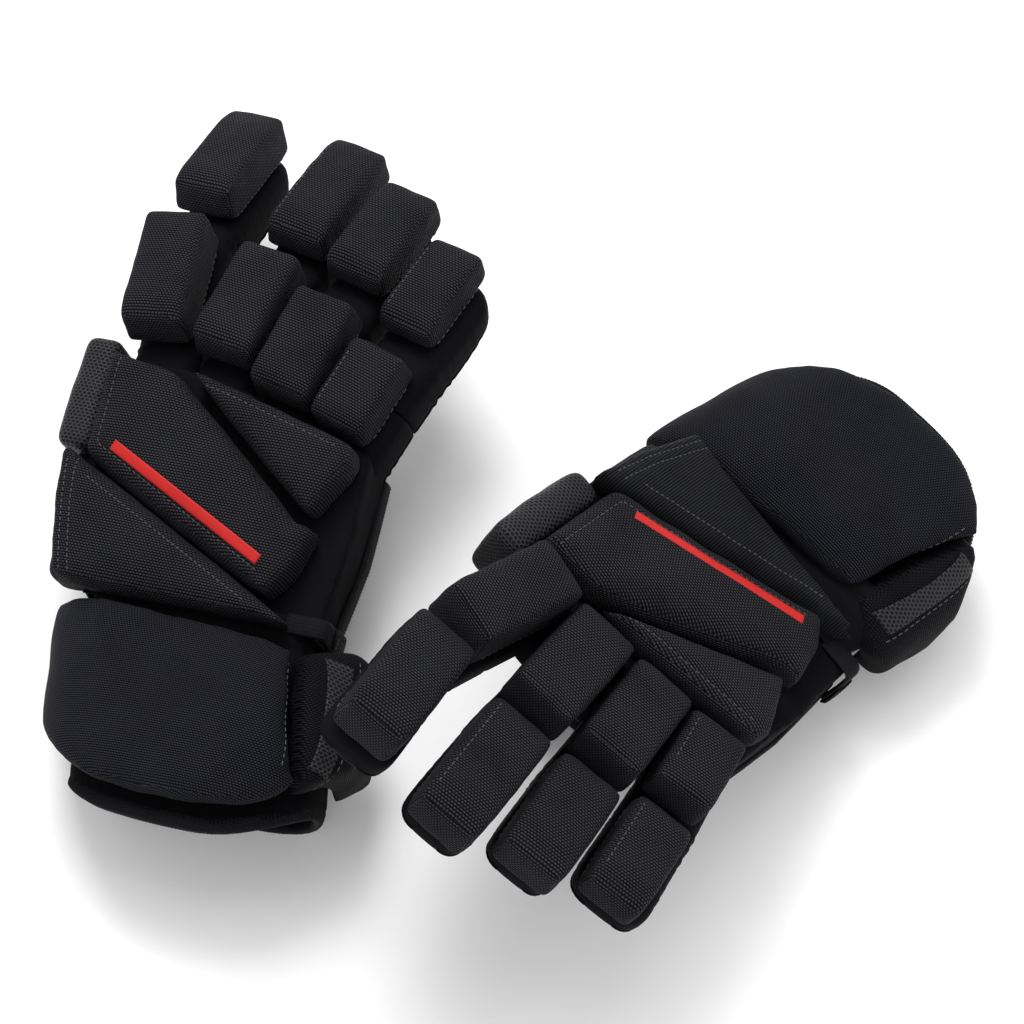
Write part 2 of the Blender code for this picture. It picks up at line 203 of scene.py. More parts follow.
class Nodes:
    """A short way to write a material's node graph."""

    def __init__(self, name):
        self.material = bpy.data.materials.new(name)
        self.material.use_nodes = True
        self.tree = self.material.node_tree
        self.shader = self.tree.nodes["Principled BSDF"]
        self.space = self.node("ShaderNodeTexCoord").outputs["Object"]

    def node(self, kind, **settings):
        made = self.tree.nodes.new(kind)
        for key, value in settings.items():
            setattr(made, key, value)
        return made

    def put(self, source, target):
        if isinstance(source, (int, float, tuple)):
            target.default_value = source
        else:
            self.tree.links.new(source, target)

    def math(self, operation, *values, clamp=False):
        made = self.node("ShaderNodeMath", operation=operation, use_clamp=clamp)
        for socket, value in zip(made.inputs, values):
            self.put(value, socket)
        return made.outputs[0]

    def plus(self, first, second, share):
        return self.math("ADD", first, self.math("MULTIPLY", second, share))

    def wave(self, value, period=1.0):
        """0 at each period and 1 halfway between."""
        return self.math("ABSOLUTE", self.math("SINE", self.math("MULTIPLY", value, math.pi / period)))

    def mix(self, factor, first, second):
        """One colour mixed into another."""
        made = self.node("ShaderNodeMix", data_type="RGBA")
        for number, value in ((0, factor), (6, (*first, 1)), (7, (*second, 1))):
            self.put(value, made.inputs[number])
        return made.outputs[2]

    def noise(self, vector, scale, detail=2.0, rough=0.5):
        made = self.node("ShaderNodeTexNoise")
        for key, value in (("Vector", vector), ("Scale", scale), ("Detail", detail), ("Roughness", rough)):
            self.put(value, made.inputs[key])
        return made.outputs["Fac"]

    def range(self, value, low, high, to_low=0.0, to_high=1.0):
        made = self.node("ShaderNodeMapRange")
        for socket, entry in zip(made.inputs, (value, low, high, to_low, to_high)):
            self.put(entry, socket)
        return made.outputs[0]

    def uv(self):
        """The weave's own u and v, in millimetres along the cloth."""
        split = self.node("ShaderNodeSeparateXYZ")
        source = self.node("ShaderNodeUVMap", uv_map="weave")
        self.put(source.outputs[0], split.inputs[0])
        return split.outputs[0], split.outputs[1], source.outputs[0]

    def bump(self, height, distance, strength=1.0, under=None):
        made = self.node("ShaderNodeBump")
        for key, value in (("Strength", strength), ("Distance", distance), ("Height", height)):
            self.put(value, made.inputs[key])
        if under is not None:
            self.put(under, made.inputs["Normal"])
        return made.outputs[0]

    def finish(self, **sockets):
        for name, value in sockets.items():
            self.put(value, self.shader.inputs[name.replace("_", " ")])
        return self.material


def loops(graph, u, v, wide, tall, sharp=0.6):
    """Rows of knitted loops, every other row shifted by half a loop: 0 in the holes, 1 on the yarn."""
    row = graph.math("DIVIDE", v, tall)
    odd = graph.math("MODULO", graph.math("FLOOR", row), 2.0)
    along = graph.plus(graph.math("DIVIDE", u, wide), odd, 0.5)
    return graph.math("POWER", graph.math("MULTIPLY", graph.wave(row), graph.wave(along)), sharp)


def rows(graph, u, v, wide, tall):
    """Knitted rows that stand out more than the loops in them."""
    return graph.plus(graph.math("MULTIPLY", loops(graph, u, v, wide, tall), 0.72), graph.wave(v, tall), 0.28)


def ribs(graph, u, v, wide, tall):
    """Cords side by side, each crossed by fine threads."""
    cord = graph.math("POWER", graph.wave(u, wide), 0.6)
    return graph.plus(graph.math("MULTIPLY", cord, 0.8), graph.wave(v, tall), 0.2)


def holes(graph, u, v, wide, tall):
    """An open mesh: round holes in staggered rows between smooth yarns."""
    return graph.range(loops(graph, u, v, wide, tall, 1.0), 0.25, 0.75, 1.0, 0.0)


# how far the thread wanders, the share of the weave that takes the light colour, and the fuzz on it
THREAD_WANDER = 0.25
WEAVE_LIT = (0.42, 0.88)
FUZZ_COLOUR = 0.12
FUZZ_HEIGHT = 0.25
WEAR = (0.75, 1.25)


def cloth_material(name, dark, light, pattern, wide, tall, depth, roughness, sheen=0.004, shine=0.03):
    """Dyed cloth: the weave gives colour, roughness and bump, and slow noise gives wear."""
    graph = Nodes(name)
    u, v, flat = graph.uv()
    u = graph.plus(u, graph.noise(flat, 0.35, 3.0), THREAD_WANDER)
    weave = pattern(graph, u, v, wide, tall)
    slow = graph.range(graph.noise(graph.space, 38.0, 4.0, 0.6), 0.3, 0.7, *WEAR)
    fuzz = graph.noise(graph.space, 2600.0, 2.0, 0.7)
    lit = graph.plus(graph.range(weave, *WEAVE_LIT), fuzz, FUZZ_COLOUR)
    colour = graph.mix(graph.math("MULTIPLY", lit, slow, clamp=True), dark, light)
    puckers = graph.bump(graph.noise(graph.space, 240.0, 3.0, 0.6), 0.6 * MM, 0.5)
    normal = graph.bump(graph.plus(weave, fuzz, FUZZ_HEIGHT), depth * MM, 1.0, puckers)
    rough = graph.range(weave, 0.0, 1.0, min(1.0, roughness + 0.2), roughness)
    return graph.finish(Base_Color=colour, Roughness=rough, Normal=normal, Sheen_Weight=sheen,
                        Sheen_Roughness=0.45, Specular_IOR_Level=shine)


def suede_material(name, dark, light):
    """Synthetic suede: a short brushed nap with rubbed lighter patches and fine pores."""
    graph = Nodes(name)
    rubbed = graph.range(graph.noise(graph.space, 60.0, 5.0, 0.65), 0.35, 0.7)
    nap = graph.noise(graph.space, 1500.0, 4.0, 0.7)
    colour = graph.mix(graph.math("MULTIPLY", rubbed, nap), dark, light)
    creases = graph.noise(graph.space, 180.0, 4.0, 0.7)
    normal = graph.bump(nap, 0.25 * MM, 0.8, graph.bump(creases, 1.0 * MM, 0.6))
    rough = graph.range(rubbed, 0.0, 1.0, 0.92, 0.72)
    return graph.finish(Base_Color=colour, Roughness=rough, Normal=normal, Sheen_Weight=0.03,
                        Sheen_Roughness=0.4, Specular_IOR_Level=0.08)


def thread_material(name, colour):
    graph = Nodes(name)
    strands = graph.noise(graph.space, 3000.0)
    tint = graph.mix(strands, tuple(part * 0.6 for part in colour), colour)
    return graph.finish(Base_Color=tint, Roughness=0.55, Normal=graph.bump(strands, 0.1 * MM))


def plastic_material(name, colour):
    graph = Nodes(name)
    grain = graph.noise(graph.space, 900.0, 3.0)
    rough = graph.range(graph.noise(graph.space, 90.0, 3.0), 0.3, 0.7, 0.35, 0.5)
    return graph.finish(Base_Color=(*colour, 1), Roughness=rough, Normal=graph.bump(grain, 0.1 * MM, 0.4))


# cloths: name, dark and light colour, pattern, its width and height, depth of the bump, roughness
MATERIALS = {
    "knit": cloth_material("pad_knit", (0.0002, 0.0002, 0.0003), (0.0330, 0.0334, 0.0390),
                           rows, 1.5, 1.15, 0.60, 0.50),
    "fine": cloth_material("cuff_knit", (0.0003, 0.0003, 0.0006), (0.0205, 0.0212, 0.0280),
                           rows, 1.3, 1.0, 0.30, 0.55),
    # the cuff knit again at about half its brightness: painted shade on the cuff's side wing
    "side": cloth_material("cuff_knit_painted_side_shade", (0.0002, 0.0002, 0.0003), (0.0110, 0.0112, 0.0135),
                           rows, 1.3, 1.0, 0.30, 0.50),
    "ottoman": cloth_material("ottoman_rib", (0.0003, 0.0003, 0.0004), (0.0150, 0.0154, 0.0185),
                              ribs, 1.2, 0.6, 0.40, 0.50),
    "mesh": cloth_material("open_mesh", (0.0002, 0.0002, 0.0003), (0.0290, 0.0295, 0.0330),
                           holes, 2.1, 1.5, 0.60, 0.36, shine=0.15),
    "nylon": cloth_material("smooth_nylon", (0.0010, 0.0010, 0.0014), (0.0080, 0.0080, 0.0098),
                            ribs, 0.55, 0.55, 0.08, 0.50, shine=0.01),
    "lining": cloth_material("brushed_lining", (0.0006, 0.0006, 0.0008), (0.0065, 0.0065, 0.0080),
                             loops, 1.0, 1.0, 0.18, 0.80, sheen=0.01, shine=0.02),
    "webbing": cloth_material("ribbed_webbing", (0.0003, 0.0003, 0.0004), (0.0120, 0.0120, 0.0142),
                              ribs, 0.6, 1.6, 0.25, 0.50, shine=0.05),
    "suede": suede_material("palm_suede", (0.0030, 0.0030, 0.0036), (0.016, 0.016, 0.0185)),
    "thread": thread_material("sewing_thread", (0.060, 0.062, 0.070)),
    "stripe": cloth_material("red_stripe", (0.34, 0.006, 0.005), (0.50, 0.018, 0.016),
                             ribs, 0.55, 0.55, 0.06, 0.42, shine=0.2),
    "plastic": plastic_material("splint_plastic", (0.02, 0.02, 0.022)),
}


# ---------------- meshes

def make_object(name, points, faces, material, matrix=None):
    """A piece in the row frame, from points in metres or in a frame's millimetres."""
    if matrix is not None:
        points = to_world(points, matrix)
        if matrix.determinant() < 0:
            faces = [tuple(reversed(face)) for face in faces]
    mesh = bpy.data.meshes.new(name)
    mesh.from_pydata([tuple(point) for point in points], [], [tuple(face) for face in faces])
    mesh.shade_smooth()
    mesh.materials.append(MATERIALS[material])
    piece = bpy.data.objects.new(name, mesh)
    bpy.context.scene.collection.objects.link(piece)
    return piece


def ridden(piece, body, slot):
    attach(piece, body)
    return piece


def read(items, key, width=3, kind=float):
    """One property of all of a mesh's items, a row each."""
    found = np.empty(len(items) * width, kind)
    items.foreach_get(key, found)
    return found.reshape(-1, width) if width > 1 else found


def get_points(piece):
    return read(piece.data.vertices, "co")


def set_points(piece, points):
    piece.data.vertices.foreach_set("co", np.asarray(points, np.float32).ravel())
    piece.data.update()


def push(piece, amount):
    """Moves each point along its normal by its own amount in millimetres."""
    normals = read(piece.data.vertices, "normal")
    set_points(piece, get_points(piece) + normals * (amount * MM)[:, None])


def apply_modifiers(piece):
    """Keeps what the modifiers make as the piece's own mesh."""
    bpy.context.view_layer.update()
    graph = bpy.context.evaluated_depsgraph_get()
    mesh = bpy.data.meshes.new_from_object(piece.evaluated_get(graph))
    old = piece.data
    piece.modifiers.clear()
    piece.data = mesh
    mesh.name = piece.name
    bpy.data.meshes.remove(old)
    mesh.shade_smooth()


def modified(piece, kind, **settings):
    """A piece after one modifier."""
    step = piece.modifiers.new("step", kind)
    for key, value in settings.items():
        setattr(step, key, value)
    apply_modifiers(piece)


def smooth(piece, rounds, share=0.5):
    """Laplacian smoothing of a mesh's points."""
    a, b = read(piece.data.edges, "vertices", 2, int).T
    points = get_points(piece)
    count = np.bincount(a, minlength=len(points)) + np.bincount(b, minlength=len(points))
    for _ in range(rounds):
        total = np.zeros_like(points)
        np.add.at(total, a, points[b])
        np.add.at(total, b, points[a])
        points += share * (total / count[:, None] - points)
    set_points(piece, points)


def face_corners(piece, matrix):
    """x, y and z in a frame, in millimetres, of each corner of each face."""
    return to_local(get_points(piece), matrix)[read(piece.data.loops, "vertex_index", 1, int)].T


def set_weave(piece, across, along):
    """Sets where each corner of each face is on the cloth, in millimetres."""
    layers = piece.data.uv_layers
    layer = layers.get("weave") or layers.new(name="weave")
    layer.data.foreach_set("uv", np.stack([across, along], 1).astype(np.float32).ravel())


def box_uv(piece, matrix):
    """Unfolds a piece onto the six sides of its frame."""
    x, y, z = face_corners(piece, matrix)
    polygons = piece.data.polygons
    normals = np.abs(read(polygons, "normal") @ (np.array(matrix)[:3, :3] / MM))
    side = np.argmax(normals * np.array([1.0, 1.0, 1.25]), axis=1)
    side = np.repeat(side, read(polygons, "loop_total", 1, int))
    set_weave(piece, np.choose(side, [z, x, x]), np.choose(side, [y, z, y]))


def wrap_uv(piece, matrix, centre, radius):
    """Unfolds a piece round the frame's y axis through centre, and its ends out from that axis."""
    x, y, z = face_corners(piece, matrix)
    angle = np.arctan2(x - centre[0], z - centre[1])
    axis = turned((0, 1, 0), matrix)
    on_end = np.zeros(len(angle), bool)
    start = 0
    for face in piece.data.polygons:
        part = slice(start, start + face.loop_total)
        angle[part][angle[part] < angle[part].max() - math.pi] += 2 * math.pi
        on_end[part] = abs(face.normal.dot(axis)) > 0.7
        start += face.loop_total
    set_weave(piece, angle * radius, np.where(on_end, np.hypot(x - centre[0], z - centre[1]), y))


def cushion(name, material, matrix, low, high, cell, radius, shape=None):
    """A rounded block of square cells in a frame; shape moves its points, in millimetres."""
    low, high = np.array(low), np.array(high)
    bm = bmesh.new()
    bmesh.ops.create_cube(bm, size=1.0)
    bmesh.ops.scale(bm, vec=high - low, verts=bm.verts)
    bmesh.ops.translate(bm, vec=(low + high) / 2, verts=bm.verts)
    for axis in range(3):
        cuts = max(1, round((high[axis] - low[axis]) / cell) - 1)
        along = [edge for edge in bm.edges
                 if abs(edge.verts[0].co[axis] - edge.verts[1].co[axis]) > 0.5 * (high - low)[axis]]
        bmesh.ops.subdivide_edges(bm, edges=along, cuts=cuts, use_grid_fill=True)
    for vert in bm.verts:
        inner = Vector([min(max(vert.co[k], low[k] + radius), high[k] - radius) for k in range(3)])
        away = vert.co - inner
        if away.length > 1e-6:
            vert.co = inner + away.normalized() * radius
        if shape:
            vert.co = shape(vert.co, low, high)
    bmesh.ops.recalc_face_normals(bm, faces=bm.faces)
    bm.verts.index_update()
    points = np.array([vert.co[:] for vert in bm.verts])
    faces = [[vert.index for vert in face.verts] for face in bm.faces]
    bm.free()
    return make_object(name, points, faces, material, matrix)


def within(co, low, high):
    """Where a point is in a block, from -1 to 1 each way, with the block's middle and half size."""
    middle, half = (low + high) / 2, (high - low) / 2
    return middle, half, [(co[k] - middle[k]) / half[k] for k in range(3)]


def voxel_copy(name, node, cell, material, rounds):
    """A soft copy of a CAD solid, remeshed in even cells with its edges rounded off."""
    piece = make_object(name, corners(node), [list(face.vertices) for face in NODES[node].data.polygons],
                        material)
    weld = bmesh.new()
    weld.from_mesh(piece.data)
    bmesh.ops.remove_doubles(weld, verts=weld.verts, dist=0.01 * MM)
    weld.to_mesh(piece.data)
    weld.free()
    modified(piece, "REMESH", mode="VOXEL", voxel_size=cell * MM)
    smooth(piece, rounds)
    return piece


def inflate(pieces):
    """Swells all the padded pieces in one cloth simulation, each to its own cap in millimetres.

    pieces holds (piece, cap, held), where held marks the points that are sewn down.
    """
    rest = [get_points(piece) for piece, _, _ in pieces]
    starts = np.cumsum([0] + [len(points) for points in rest])
    faces = [tuple(vert + start for vert in face.vertices)
             for (piece, _, _), start in zip(pieces, starts) for face in piece.data.polygons]
    mesh = bpy.data.meshes.new("swelling")
    mesh.from_pydata(np.concatenate(rest).tolist(), [], faces)
    bag = bpy.data.objects.new("swelling", mesh)
    scene = bpy.context.scene
    scene.collection.objects.link(bag)
    held = np.concatenate([mask for _, _, mask in pieces])
    bag.vertex_groups.new(name="sewn").add(np.nonzero(held)[0].tolist(), 1.0, "REPLACE")
    cloth = bag.modifiers.new("cloth", "CLOTH")
    cloth.settings.effector_weights.gravity = 0
    for key, value in SIM_SETTINGS.items():
        setattr(cloth.settings, key, value)
    cloth.point_cache.frame_start = 1
    cloth.point_cache.frame_end = SIM_FRAMES
    for number in range(1, SIM_FRAMES + 1):
        scene.frame_set(number)
    swollen = get_points(bag.evaluated_get(bpy.context.evaluated_depsgraph_get()))
    scene.frame_set(1)
    bpy.data.objects.remove(bag, do_unlink=True)
    for (piece, cap, _), start, points in zip(pieces, starts, rest):
        away = swollen[start:start + len(points)] - points
        length = np.linalg.norm(away, axis=1, keepdims=True)
        limit = cap * MM
        away *= limit * np.tanh(length / limit) / np.maximum(length, 1e-9)
        set_points(piece, points + away)


def tree_of(piece):
    return BVHTree.FromPolygons([vert.co.copy() for vert in piece.data.vertices],
                                [tuple(face.vertices) for face in piece.data.polygons])


def drape(points, way, tree, lift):
    """Drops points along way onto a surface and lifts them off it: (place, normal) for each that lands."""
    landed = []
    for point in points:
        place, normal, _, _ = tree.ray_cast(Vector(point), Vector(way))
        if place is not None:
            if normal.dot(way) > 0:
                normal = -normal
            landed.append((place + normal * lift * MM, normal))
    return landed


def resample(points, pitch):
    """Points every pitch along a line of points."""
    points = np.array([list(point) for point in points])
    steps = np.linalg.norm(np.diff(points, axis=0), axis=1)
    reach = np.concatenate([[0], np.cumsum(steps)])
    wanted = np.arange(0, reach[-1], pitch)
    return np.stack([np.interp(wanted, reach, points[:, k]) for k in range(3)], 1)


def ring_faces(count, sides, closed=True):
    """The faces of a tube of rings, with a face over each end if it's closed."""
    faces = []
    for row in range(count - 1):
        for step in range(sides):
            after = (step + 1) % sides
            a = row * sides
            faces.append((a + step, a + after, a + sides + after, a + sides + step))
    if closed:
        faces += [tuple(reversed(range(sides))), tuple(range((count - 1) * sides, count * sides))]
    return faces


def circle(centre, side, other, radius):
    """A thread's ring of points."""
    angles = [2 * math.pi * step / THREAD_SIDES for step in range(THREAD_SIDES)]
    return [centre + (side * math.cos(angle) + other * math.sin(angle)) * radius for angle in angles]


def capsule(start, end, radius):
    """Points and faces of a short thread with rounded ends."""
    axis = (end - start).normalized()
    side = axis.orthogonal().normalized()
    points = []
    for part, size in ((0.0, 0.45), (0.18, 1.0), (0.82, 1.0), (1.0, 0.45)):
        centre = start + axis * (end - start).length * part
        points += circle(centre, side, axis.cross(side), radius * size)
    return points, ring_faces(4, THREAD_SIDES)


def cord_mesh(path, radius):
    """Points and faces of a closed tube along a line of points in metres."""
    path = [Vector(point) for point in path]
    points = []
    last = None
    for index, here in enumerate(path):
        ahead = (path[min(index + 1, len(path) - 1)] - path[max(index - 1, 0)]).normalized()
        last = ahead.orthogonal().normalized() if last is None else (last - ahead * last.dot(ahead)).normalized()
        size = 0.35 if index in (0, len(path) - 1) else 1.0
        points += circle(here, last, ahead.cross(last), radius * size)
    return points, ring_faces(len(path), THREAD_SIDES)


def joined(parts):
    """Several (points, faces) as one."""
    points, faces = [], []
    for more, quads in parts:
        faces += [tuple(index + len(points) for index in quad) for quad in quads]
        points += [tuple(point) for point in more]
    return points, faces


def stitches(name, lines, body, slot, pitch, length, radius):
    """Rows of single sewing stitches along lines in the row frame, as one piece."""
    parts = []
    for line in lines:
        path = [Vector(point) for point in resample(line, pitch * MM)] if len(line) > 1 else []
        for first, second in zip(path, path[1:]):
            way = second - first
            if way.length > 1e-6:
                parts.append(capsule(first, first + way.normalized() * length * MM, radius * MM))
    return ridden(make_object(name, *joined(parts), "thread"), body, slot)


def superellipse(count, half_x, half_z, power):
    """A rounded rectangle's points as (x, z)."""
    def rounded(value):
        return math.copysign(abs(value) ** (2 / power), value)
    angles = [2 * math.pi * (step + 0.5) / count for step in range(count)]
    return [(half_x * rounded(math.cos(angle)), half_z * rounded(math.sin(angle))) for angle in angles]


def wrinkle(piece, matrix, seed, depth, pitch):
    """Small uneven folds in a stuffed cover, different on every piece."""
    shift = Vector((seed * 17.3, seed * 5.1, 0))
    local = to_local(get_points(piece), matrix)
    push(piece, np.array([noise.noise(Vector(point) / pitch + shift) for point in local]) * depth)


def path_distance(local, path):
    """How far each point is from a line of points, seen along z."""
    nearest = np.full(len(local), 1e9)
    for a, b in zip(np.array(path)[:, :2], np.array(path)[1:, :2]):
        along = np.clip((local[:, :2] - a) @ (b - a) / ((b - a) @ (b - a)), 0, 1)
        nearest = np.minimum(nearest, np.linalg.norm(local[:, :2] - a - along[:, None] * (b - a), axis=1))
    return nearest


def facing_share(piece, matrix, side=1):
    """How far each point's normal faces along the frame's z, or against it: 0 to 1."""
    return np.clip(side * (read(piece.data.vertices, "normal") @ np.array(matrix)[:3, 2]) / MM, 0, 1)


def groove(piece, matrix, paths, width, depth, side=1):
    """Sews channels into a pad: its points near the paths, seen along z, sink in."""
    local = to_local(get_points(piece), matrix)
    sink = sum(np.exp(-(path_distance(local, path) / width) ** 2) for path in paths)
    push(piece, -np.clip(sink, 0, 1) * facing_share(piece, matrix, side) * depth)


PADS = []


def pad_later(piece, cap, held, matrix, body, slot, node, fill=0.8, finish=None, relax=2, fold=(0.35, 9.0)):
    """Books a padded piece; those with a cap swell in one simulation, and all are finished after it."""
    PADS.append((piece, cap, held, matrix, body, slot, node, fill, finish, relax, fold))


def finish_pads():
    inflate([pad[:3] for pad in PADS if pad[1]])
    for number, (piece, _, _, matrix, body, slot, node, fill, finish, relax, fold) in enumerate(PADS):
        smooth(piece, relax, 0.4)
        modified(piece, "SUBSURF", levels=1, render_levels=1)
        wrinkle(piece, matrix, number, *fold)
        box_uv(piece, matrix)
        ridden(piece, body, slot)
        if node:
            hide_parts(node)
        if finish:
            finish(piece)


def sew(name, piece, matrix, paths, way, body, slot, thread):
    """Stitches along paths laid onto a piece; paths and the way that they're laid are in the frame."""
    tree = tree_of(piece)
    lines = []
    for path in paths:
        starts = resample(path, 1.0) - np.array(way) * FAR_OFF
        lines.append([place for place, _ in drape(to_world(starts, matrix), turned(way, matrix), tree, 0.10)])
    stitches(name, lines, body, slot, **thread)


def outward(piece):
    """Turns a closed piece's faces outward."""
    bm = bmesh.new()
    bm.from_mesh(piece.data)
    bmesh.ops.recalc_face_normals(bm, faces=bm.faces)
    bm.to_mesh(piece.data)
    bm.free()
    piece.data.shade_smooth()
    return piece


def laid_tape(name, piece, stations, wide, material, body, slot, lift, across):
    """Tape sewn flat on a piece: stations are (start, way, side) in metres, side across the tape."""
    tree = tree_of(piece)
    rings = []
    for start, way, side in stations:
        offsets = [start + side * wide * MM * (step / across - 0.5) for step in range(across + 1)]
        landed = drape(offsets, way, tree, 0)
        if len(landed) > across:
            rings.append([place + normal * lift * MM for place, normal in landed]
                         + [place - normal * 0.4 * MM for place, normal in (landed[-1], landed[0])])
    points = [point for ring in rings for point in ring]
    return ridden(outward(make_object(name, points, ring_faces(len(rings), across + 3), material)), body, slot)


# ---------------- fingers

ROLL_GROW = np.array([0.5, 0.3, 0.0])
WRIST_REACH = {"proximal": 2.4, "distal": 1.5}
ROLL_ROUND = 3.4
ROLL_CROWN = 1.3
ROLL_TAPER = 0.05
TIP_DROP = 3.0
WRIST_END_DROP = 4.0
WRIST_END_LIFT = 4.0
TOP_STITCHED = (("middle", "distal"), ("little", "distal"), ("little", "proximal"))


def roll_shape(tip):
    """A roll is crowned, its wrist end slants, and its fingertip end rounds down."""
    def shape(co, low, high):
        middle, half, (x, y, z) = within(co, low, high)
        up = (z + 1) / 2
        rise = ROLL_CROWN * (1 - x * x) * (1 - y ** 4) * up
        narrow = 1 - ROLL_TAPER * up
        if tip and y > 0.45:
            late = (y - 0.45) / 0.55
            rise -= TIP_DROP * late * late * up
            narrow -= 0.10 * late ** 3
        if y < -0.72:
            slant = WRIST_END_LIFT * (1 - up) ** 2 - WRIST_END_DROP * up * up
            rise += ((-0.72 - y) / 0.28) ** 1.4 * slant
        long = 1 - 0.05 * up
        return Vector((middle[0] + half[0] * x * narrow, middle[1] + half[1] * y * long, co[2] + rise))
    return shape


def roll(glove, finger, part):
    matrix = (glove.near if part == "proximal" else glove.far)[finger]
    node = glove.name(f"{finger}_{part}_roll")
    name = glove.name(f"{finger}_{part}_pad")
    body = glove.name(f"{finger}_{part}")
    low, high = extent(node, matrix)
    reach = np.array([0, WRIST_REACH[part], 0])
    piece = cushion(name, "knit", matrix, low - ROLL_GROW - reach, high + ROLL_GROW, ROLL_CELL, ROLL_ROUND,
                    roll_shape(part == "distal"))
    held = to_local(get_points(piece), matrix)[:, 2] < low[2] + 1.0

    def seams(pad):
        front, back, up = low[1] + 4, high[1] - 5, low[2] + 2.6
        for side, edge, way in (("thumb", low[0], (1, 0, 0)), ("little", high[0], (-1, 0, 0))):
            sew(f"{name}_{side}_seam", pad, matrix, [[(edge, front, up), (edge, back, up)]], way, body,
                "pad_knit", ROLL_THREAD)
        if (finger, part) in TOP_STITCHED:
            edge = low[0] + 3.2
            sew(f"{name}_edge_seam", pad, matrix, [[(edge, front + 1, high[2]), (edge, back - 2, high[2])]],
                (0, 0, -1), body, "pad_knit", EDGE_THREAD)
    pad_later(piece, 1.5, held, matrix, body, "pad_knit", node, finish=seams, relax=1, fold=(0.35, 7.0))


SLEEVE_SIDES = 40
SLEEVE_STEP = 2.0
SLEEVE_POWER = 3.4
SLEEVE_EASE = 0.5
INDEX_WIDER = 0.8
TIP_LENGTH = 12.0
# a sleeve's two seams, as the tube's point that each follows
SLEEVE_SEAMS = (SLEEVE_SIDES - 4, SLEEVE_SIDES // 2 + 3)
SEAM_RADIUS = 0.6
SEAM_OUT = 0.25


def sleeve_ring(matrix, y, centre, half_x, half_z):
    ring = superellipse(SLEEVE_SIDES, half_x, half_z, SLEEVE_POWER)
    return to_world([(centre[0] + x, y, centre[1] + z) for x, z in ring], matrix)


def tip_steps(start, end):
    """Where the rings of a closed finger lie: even steps, then closer and closer round the tip."""
    tip = end - TIP_LENGTH * (1 - np.sin(np.linspace(0.1, math.pi / 2, 8)))
    return np.concatenate([np.arange(start, end - TIP_LENGTH - 1, SLEEVE_STEP), tip])


def tip_shrink(y, end):
    left = max(0.0, (y - (end - TIP_LENGTH)) / TIP_LENGTH)
    return math.sqrt(max(0.02, 1 - left * left))


def folds(y, joint, depth=0.9, pitch=5.0, reach=9.0):
    """Small bellows round a joint."""
    return depth * math.cos(2 * math.pi * (y - joint) / pitch) * math.exp(-((y - joint) / reach) ** 2)


def seam_cord(rings, index):
    """A raised seam along a row of a tube's points."""
    path = []
    for ring in rings:
        away = ring[index] - ring.mean(0)
        path.append(ring[index] + away / np.linalg.norm(away) * SEAM_OUT * MM)
    return cord_mesh(path, SEAM_RADIUS * MM)


def tube_piece(name, rings, closed=True, seams=()):
    """A nylon tube through rings of points, with raised seams."""
    points = [tuple(point) for ring in rings for point in ring]
    tube = (points, ring_faces(len(rings), len(rings[0]), closed))
    return outward(make_object(name, *joined([tube] + [seam_cord(rings, index) for index in seams]), "nylon"))


def finger_tube(name, rings, matrix):
    """A closed sleeve of a finger or thumb, with palm suede on the faces that look down in the frame."""
    piece = tube_piece(name, rings, True, SLEEVE_SEAMS)
    box_uv(piece, matrix)
    piece.data.materials.append(MATERIALS["suede"])
    down = turned((0, 0, -1), matrix)
    for face in piece.data.polygons:
        if face.normal.dot(down) > 0.45:
            face.material_index = 1
    return piece


def sleeve(glove, finger):
    """The cloth finger under the rolls: one piece over the knuckle, one over the middle joint."""
    near, far = glove.near[finger], glove.far[finger]
    proximal, distal = glove.name(f"{finger}_proximal"), glove.name(f"{finger}_distal")
    low, high = extent(f"{proximal}_sleeve", near)
    far_low, far_high = extent(f"{distal}_sleeve", far)
    centre_x, half_x = (low[0] + high[0]) / 2, (high[0] - low[0]) / 2
    half_z, far_half_z = (high[2] - low[2]) / 2, (far_high[2] - far_low[2]) / 2
    joint = high[1] + 0.4
    middle = joint * 0.5
    if finger == "index":
        centre_x, half_x = centre_x + INDEX_WIDER, half_x + INDEX_WIDER

    rings = []
    for y in np.arange(-14.0, middle + 1.0, SLEEVE_STEP):
        bulge = folds(y, 0.0) * 0.4
        rings.append(sleeve_ring(near, y, (centre_x, half_z), half_x + SLEEVE_EASE + bulge, half_z - 0.2 + bulge))
    base = finger_tube(glove.name(f"{finger}_base_sleeve"), rings, near)
    ends = to_world([(0, -7.0, half_z), (0, 7.0, half_z)], near)
    glove.name("hand")
    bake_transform(base)
    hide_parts(f"{proximal}_sleeve")

    rings = []
    end = joint + far_high[1]
    for y in tip_steps(middle, end):
        bulge = folds(y, joint) + 0.35 * folds(y, joint + 26, 0.8, 6.5, 12)
        share = min(max((y - joint + 7) / 14, 0), 1)
        share = share * share * (3 - 2 * share)
        shrink = tip_shrink(y, end)
        late = min(max((y - middle) / (end - 20 - middle), 0), 1)
        lift = 10.0 * max(0.0, (y - joint - 8) / (end - joint - 8)) ** 2.2
        wide = half_x + SLEEVE_EASE + 1.5 * late + bulge * 0.5 - (1 - shrink) * half_x * 0.8
        tall = (half_z * (1 - share) + far_half_z * share - lift / 2) * (0.35 + 0.65 * shrink) + bulge * 0.5
        centre = (centre_x, half_z * (1 - share) + (far_half_z + lift / 2) * share)
        first = sleeve_ring(near, y, centre, wide, tall)
        second = sleeve_ring(far, y - joint, centre, wide, tall)
        rings.append(first * (1 - share) + second * share)
    tip = finger_tube(glove.name(f"{finger}_tip_sleeve"), rings, far)
    ends = to_world([(0, joint - 6.0, half_z), (0, joint + 6.0, half_z)], near)
    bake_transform(tip)
    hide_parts(f"{distal}_sleeve")


